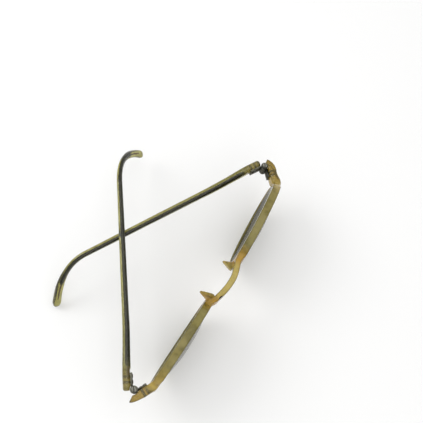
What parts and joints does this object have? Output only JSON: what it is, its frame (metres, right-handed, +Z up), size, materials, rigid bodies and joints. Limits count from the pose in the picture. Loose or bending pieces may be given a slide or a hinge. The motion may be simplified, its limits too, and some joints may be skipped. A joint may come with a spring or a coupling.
{
  "type": "glacier glasses",
  "caption": "Tinted mountaineering glasses with a honey acetate front, riveted hinges and slim wire-cored temples that hook behind the ears.",
  "frame": {"origin": "bottom centre of the box at rest: the glasses stand on both rims and the left ear hook, half folded, right temple over left", "axes": "+X to the wearer's left, +Y to the rear, +Z up along the hinge axes"},
  "size_m": [0.1318, 0.0808, 0.0439],
  "materials": {
    "honey_acetate": "polished translucent honey acetate, aged",
    "olive_acetate": "polished translucent olive acetate, aged",
    "grey_lens": "neutral grey tinted glass",
    "hinge_metal": "tarnished nickel silver",
    "core_wire": "dark spring wire inside the acetate"
  },
  "bodies": {
    "front": {"front": "honey_acetate", "nose_pad_right": "honey_acetate", "nose_pad_left": "honey_acetate", "lens_right": "grey_lens", "lens_left": "grey_lens", "front_hinge_leaf_right": "hinge_metal", "front_hinge_leaf_left": "hinge_metal", "front_rivet_right_1": "hinge_metal", "front_rivet_right_2": "hinge_metal", "front_rivet_left_1": "hinge_metal", "front_rivet_left_2": "hinge_metal", "hinge_screw_right": "hinge_metal", "hinge_screw_left": "hinge_metal"},
    "temple_right": {"temple_right": "olive_acetate", "core_wire_right": "core_wire", "temple_hinge_leaf_right": "hinge_metal", "temple_rivet_right_1": "hinge_metal", "temple_rivet_right_2": "hinge_metal"},
    "temple_left": {"temple_left": "olive_acetate", "core_wire_left": "core_wire", "temple_hinge_leaf_left": "hinge_metal", "temple_rivet_left_1": "hinge_metal", "temple_rivet_left_2": "hinge_metal"}
  },
  "joints": [
    {"name": "temple_right_fold", "type": "hinge", "parent": "front", "child": "temple_right", "pos_m": [-0.06099, -0.02516, 0.02917], "axis": [0, 0, -1], "range_deg": [-55, 24]},
    {"name": "temple_left_fold", "type": "hinge", "parent": "front", "child": "temple_left", "pos_m": [0.06101, -0.02516, 0.02917], "axis": [0, 0, 1], "range_deg": [-58, 25.4]}
  ],
  "couplings": [
    {"joint": "temple_left_fold", "follows": "temple_right_fold", "ratio": 1.0545}
  ]
}
